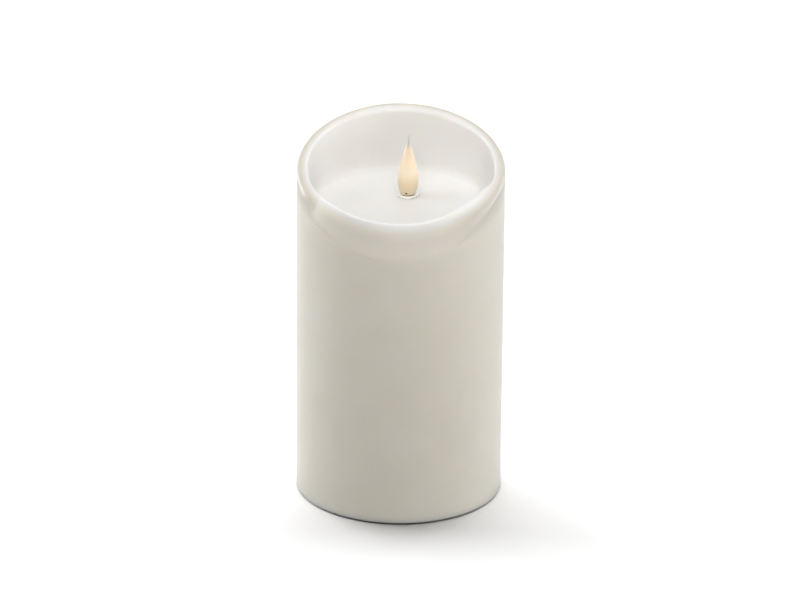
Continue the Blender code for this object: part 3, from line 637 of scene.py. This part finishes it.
def wax_rings():
    """The whole skin of the pillar: up the side, over the rim, down the bowl and back inside."""
    trim = trimmed(ANGLES)
    crest = RIM_MIDDLE - rim_dip(ANGLES)
    side_top = crest - shoulder_drop(trim)
    edge = bowl_edge(ANGLES)
    lip = LIP + BACK_LIP * between(ANGLES, 55, 120, 30, 30) + TRIMMED_LIP * trim
    crest_out = edge + lip + CREST_WIDTH + (TRIMMED_CREST_WIDTH - CREST_WIDTH) * trim
    crest_out = np.minimum(crest_out, WAX_RADIUS - SHOULDER)
    yield from side_rings(side_top)
    yield from shoulder_rings(crest, side_top, crest_out, trim)
    yield from crest_rings(crest, crest_out, edge, lip)
    yield from bowl_rings(crest - lip, edge)
    yield from inside_rings()


def make_wax():
    points, faces = loft(list(wax_rings()), around=True)
    pillar = piece("wax_pillar", points, faces, wax_finish(), "candle", "ivory_wax", sharp=50)
    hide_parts("wax_shell")


# The flame and its glue


FLAME_OUTLINE = (
    # radius and height over the foot, in millimetres
    (2.9, 0), (3.7, 1.1), (4.5, 3.2), (4.9, 6.2), (4.75, 9.2), (4.2, 13.0), (3.35, 17.2),
    (2.3, 21.4), (1.45, 24.4), (0.85, 25.9), (0.5, 27.0), (0.3, 29.2), (0.1, 30.7),
)
FLAME_SEGMENTS = 128


def make_flame():
    """A moulded teardrop with a hair-thin tail of clear silicone, and a vent at its foot."""
    skin = smooth_through([(radius, up, 0) for radius, up in FLAME_OUTLINE], 6)
    angles = np.arange(FLAME_SEGMENTS) * tau / FLAME_SEGMENTS
    rings = []
    for radius, up in [(p.x * MM, p.y * MM) for p in skin]:
        oval = 1 + 0.02 * np.sin(2 * angles + 6 * up / FLAME_HEIGHT)
        lean = 0.25 * MM * (up / FLAME_HEIGHT) ** 3
        x = FLAME_X + lean + radius * oval * np.cos(angles)
        y = FLAME_Y + radius * oval * np.sin(angles)
        spots = np.stack([x, y, np.full(FLAME_SEGMENTS, FLAME_FOOT + up)], axis=1)
        away = np.linalg.norm(spots - np.array(VENT_PLACE), axis=1)
        spots[:, 1] += VENT_DEPTH * (1 - step_up(away, 0.6 * VENT_RADIUS, 1.2 * VENT_RADIUS))
        rings.append(spots)
    points, faces = loft(rings)
    finish = silicone_finish()
    flame = piece("silicone_flame", points, faces, finish, "candle", "flame_silicone")
    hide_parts("flame_tip")


GLUE_OUTLINE = (
    # radius and height over the bowl's floor, in millimetres; the first radius is its round hole
    (3.4, 0.05), (4.7, 0.05), (4.6, 0.3), (4.4, 0.6), (4.2, 0.9), (4.0, 1.0), (3.4, 0.9),
)
GLUE_SEGMENTS = 64
BEADS = (
    # x and y from the flame's axis, height over the bowl's floor, radius, in millimetres
    (4.6, 0.3, 1.7, 0.65),
    (4.7, -1.1, 1.0, 0.5),
    (-4.2, 0.2, 1.5, 0.45),
    (-4.4, -0.9, 0.7, 0.4),
    (-2.3, -4.0, 0.5, 0.40),
    (1.2, -4.3, 0.5, 0.40),
    (3.2, 3.4, 0.9, 0.6),
    (-3.0, 3.5, 0.8, 0.6),
)


def make_glue():
    """Clear glue squeezed out round the flame's foot, with beads where it ran together."""
    angles = np.arange(GLUE_SEGMENTS) * tau / GLUE_SEGMENTS
    wavy = 1 + 0.06 * np.sin(3 * angles + 1) + 0.04 * np.sin(7 * angles)
    hole = GLUE_OUTLINE[0][0]
    rings = []
    for radius, up in GLUE_OUTLINE:
        spread = wavy if radius > hole else 1.0
        x = FLAME_X + radius * spread * MM * np.cos(angles)
        y = FLAME_Y + radius * spread * MM * np.sin(angles)
        rings.append(np.stack([x, y, np.full(GLUE_SEGMENTS, BOWL_FLOOR + up * MM)], axis=1))
    points, faces = loft(rings, around=True)
    mesh = bpy.data.meshes.new("glue")
    mesh.from_pydata([tuple(p) for p in points], [], faces)
    shape = bmesh.new()
    shape.from_mesh(mesh)
    for x, y, up, radius in BEADS:
        made = bmesh.ops.create_icosphere(shape, subdivisions=3, radius=radius * MM)
        spot = Vector((FLAME_X + x * MM, FLAME_Y + y * MM, BOWL_FLOOR + up * MM))
        bmesh.ops.translate(shape, verts=made["verts"], vec=spot)
    bmesh.ops.recalc_face_normals(shape, faces=shape.faces)
    shape.to_mesh(mesh)
    shape.free()
    merged = remeshed(mesh, GLUE_VOXEL, smoothing=4)
    glue = dressed("clear_glue_ring", merged, glue_finish(), "candle", "clear_glue")
    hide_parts("flame_collar")


def remeshed(mesh, voxel, smoothing):
    """Overlapping closed bodies become one smooth body."""
    helper = bpy.data.objects.new("remesh_helper", mesh)
    bpy.context.scene.collection.objects.link(helper)
    remesh = helper.modifiers.new("remesh", "REMESH")
    remesh.mode = "VOXEL"
    remesh.voxel_size = voxel
    smooth = helper.modifiers.new("smooth", "SMOOTH")
    smooth.iterations = smoothing
    graph = bpy.context.evaluated_depsgraph_get()
    merged = bpy.data.meshes.new_from_object(helper.evaluated_get(graph))
    bpy.data.objects.remove(helper)
    return merged


# The base, the battery compartment and the electronics


def refined(node, finish, body="candle", rounding=0.0, sharp=40):
    """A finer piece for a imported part: round faces smoothed, and edges over sharp degrees eased."""
    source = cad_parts[node]
    slot = source.material_slots[0].name
    mesh = source.data.copy()
    mesh.name = "fine_" + node
    shape = bmesh.new()
    shape.from_mesh(mesh)
    bmesh.ops.remove_doubles(shape, verts=shape.verts, dist=0.002 * MM)
    bmesh.ops.dissolve_limit(shape, angle_limit=radians(1), verts=shape.verts, edges=shape.edges)
    if rounding:
        limit = radians(sharp)
        edges = [e for e in shape.edges if e.is_manifold and e.calc_face_angle() > limit]
        bmesh.ops.bevel(
            shape,
            geom=edges,
            offset=rounding,
            offset_type="OFFSET",
            segments=2,
            profile=0.5,
            affect="EDGES",
            clamp_overlap=True,
        )
    shape.to_mesh(mesh)
    shape.free()
    mesh.materials.clear()
    fine = dressed("fine_" + node, mesh, finish, body, slot, sharp)
    # Flat faces are shaded flat, up to their rounded edges
    flats = fine.modifiers.new("flats", "WEIGHTED_NORMAL")
    flats.mode = "FACE_AREA"
    flats.weight = 50
    flats.keep_sharp = True
    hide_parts(node)


def make_base():
    ivory = plastic_finish("ivory_plastic", (0.80, 0.775, 0.70), 0.42).material
    refined("base_plate", ivory, rounding=0.25 * MM)
    refined("battery_cover", ivory, "cover", rounding=0.25 * MM)
    refined("flame_holder", ivory, rounding=0.12 * MM)
    black = plastic_finish("black_plastic", (0.022, 0.022, 0.024), 0.45).material
    refined("battery_housing", black, rounding=0.2 * MM)
    refined("switch_knob", black, "knob", rounding=0.12 * MM)


def make_contacts():
    nickel = metal_finish("nickel", (0.72, 0.69, 0.63), 0.26).material
    for node in ("contact_plate", "bridge_strip"):
        refined(node, nickel, rounding=0.05 * MM)
    for node in ("contact_spring", "bridge_spring", "led_anode_lead", "led_cathode_lead"):
        refined(node, nickel, sharp=60)
    refined("contact_carrier", fibre_finish().material, rounding=0.12 * MM)
    low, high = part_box("cell_1")
    refined("cell_1", cell_finish("cell_1_jacket", low.z, high.z).material)
    low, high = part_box("cell_2")
    refined("cell_2", cell_finish("cell_2_jacket", high.z, low.z).material)


def make_screws():
    zinc = metal_finish("zinc_steel", (0.58, 0.59, 0.61), 0.34, (1, 1, 1)).material
    for number in (1, 2, 3):
        refined(f"housing_screw_{number}", zinc, rounding=0.05 * MM, sharp=35)
    for number in (1, 2):
        refined(f"board_screw_{number}", zinc, rounding=0.05 * MM, sharp=35)
    refined("switch_body", zinc, rounding=0.1 * MM)


def make_electronics():
    board = board_finish().material
    for node in ("main_board", "led_board"):
        refined(node, board, rounding=0.05 * MM)
    low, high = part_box("main_board")
    middle = (low.x + high.x) / 2
    chip = tinned_finish("chip_plastic", (0.02, 0.02, 0.022), 1.95 * MM, middle).material
    refined("timer_chip", chip, rounding=0.08 * MM)
    resistor = tinned_finish("resistor_ceramic", (0.03, 0.03, 0.035), 0.55 * MM, middle).material
    refined("resistor", resistor, rounding=0.05 * MM)
    refined("capacitor", sleeve_finish(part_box("capacitor")[1].z).material, sharp=35)
    refined("flame_led", lens_finish().material, sharp=35)
    colors = {"red": (0.56, 0.03, 0.025), "black": (0.015, 0.015, 0.016)}
    for color, ends in (("red", "positive"), ("black", "negative")):
        vinyl = wire_finish("wire_" + color, colors[color]).material
        for run in ("battery", "led"):
            refined(f"wire_{run}_{ends}", vinyl, sharp=60)


# Stage, light and camera


FLOOR_REACH = 12.0


def make_floor():
    """White paper. It shows, also in reflections, but throws no diffuse light on the candle."""
    mesh = bpy.data.meshes.new("floor")
    signs = ((-1, -1), (1, -1), (1, 1), (-1, 1))
    corners = [(x * FLOOR_REACH, y * FLOOR_REACH, 0) for x, y in signs]
    mesh.from_pydata(corners, [], [(0, 1, 2, 3)])
    paper = Finish("paper_floor", (0.96, 0.96, 0.96), 0.9)
    mesh.materials.append(paper.material)
    floor = bpy.data.objects.new("floor", mesh)
    bpy.context.scene.collection.objects.link(floor)
    floor.visible_diffuse = False
    return floor


CANDLE_SUNS = (
    # name, direction towards it, its angular size in degrees, strength
    ("top", (0.0, 0.0, 1.0), 60, 1.5),
    ("back_left_low", (-1.0, 0.6, 0.03), 25, 2.6),
    ("left_low", (-1.0, 0.0, 0.05), 40, 0.4),
    ("left_high", (-1.0, 0.0, 0.6), 30, 0.5),
    ("right_low", (1.0, 0.0, 0.05), 40, 1.4),
    ("back_right_low", (1.0, 0.6, 0.03), 25, 1.2),
    ("front_right_low", (1.0, -1.0, 0.05), 40, 0.3),
    ("front_high", (0.0, -1.0, 0.9), 40, 0.9),
)
FLOOR_SUNS = (
    ("floor_back", (0.0, 1.0, 1.0), 60, 1.4),
    ("floor_back_high", (0.0, 1.0, 2.2), 40, 1.0),
    ("floor_back_left", (-1.0, 0.7, 0.7), 50, 2.9),
    ("floor_back_right", (1.0, 0.7, 0.7), 50, 2.0),
    ("floor_left", (-1.0, 0.2, 1.2), 50, 0.25),
)
FRONT_LAMP_PLACE = Vector((0.05, -0.40, 0.30))
FRONT_LAMP_SIZE = (0.3, 0.2)
FRONT_LAMP_POWER = 0.45
LIGHT_AIM = Vector((0, 0, 0.12))


def make_lights(floor):
    """Soft suns. One set lights the candle and the other the floor, each with its own exposure."""
    only_floor = bpy.data.collections.new("only_floor")
    only_floor.objects.link(floor)
    all_but_floor = bpy.data.collections.new("all_but_floor")
    all_but_floor.objects.link(floor)
    all_but_floor.collection_objects[0].light_linking.link_state = "EXCLUDE"
    for suns, receivers in ((CANDLE_SUNS, all_but_floor), (FLOOR_SUNS, only_floor)):
        for name, toward, size, strength in suns:
            sun = bpy.data.lights.new(name, "SUN")
            sun.angle = radians(size)
            sun.energy = strength
            add_light(name, sun, LIGHT_AIM + Vector(toward), receivers)
    lamp = bpy.data.lights.new("front", "AREA")
    lamp.shape = "RECTANGLE"
    lamp.size, lamp.size_y = FRONT_LAMP_SIZE
    lamp.energy = FRONT_LAMP_POWER
    add_light("front", lamp, FRONT_LAMP_PLACE, all_but_floor)
    make_world()


def make_world():
    """White behind everything, also in reflections, but it gives no diffuse light."""
    world = bpy.data.worlds.new("studio")
    world.use_nodes = True
    background = world.node_tree.nodes["Background"]
    background.inputs["Color"].default_value = (1, 1, 1, 1)
    background.inputs["Strength"].default_value = 1.0
    bpy.context.scene.world = world
    world.cycles_visibility.diffuse = False
    world.cycles_visibility.scatter = False
    bpy.context.scene.view_settings.view_transform = "Standard"


def add_light(name, data, place, receivers):
    """A light that the camera doesn't see, and that lights its receivers only."""
    obj = bpy.data.objects.new("light_" + name, data)
    obj.location = place
    obj.rotation_euler = (LIGHT_AIM - place).to_track_quat("-Z", "Y").to_euler()
    obj.visible_camera = False
    obj.light_linking.receiver_collection = receivers
    bpy.context.scene.collection.objects.link(obj)


CAMERA_DISTANCE = 2.5
CAMERA_ELEVATION = 22.2
CAMERA_ROLL = 0.5
CAMERA_LENS = 233.0
CAMERA_AIM = Vector((0, 0, 0.0963))


def make_camera():
    data = bpy.data.cameras.new("camera")
    data.lens = CAMERA_LENS
    data.sensor_width = 36
    data.clip_end = 100
    camera = bpy.data.objects.new("camera", data)
    up = radians(CAMERA_ELEVATION)
    direction = Vector((0, -cos(up), sin(up)))
    camera.location = CAMERA_AIM + direction * CAMERA_DISTANCE
    camera.rotation_euler = (-direction).to_track_quat("-Z", "Y").to_euler()
    camera.rotation_euler.rotate_axis("Z", radians(CAMERA_ROLL))
    bpy.context.scene.collection.objects.link(camera)
    bpy.context.scene.camera = camera


make_camera()
make_wax()
make_flame()
make_glue()
make_base()
make_contacts()
make_screws()
make_electronics()
make_lights(make_floor())
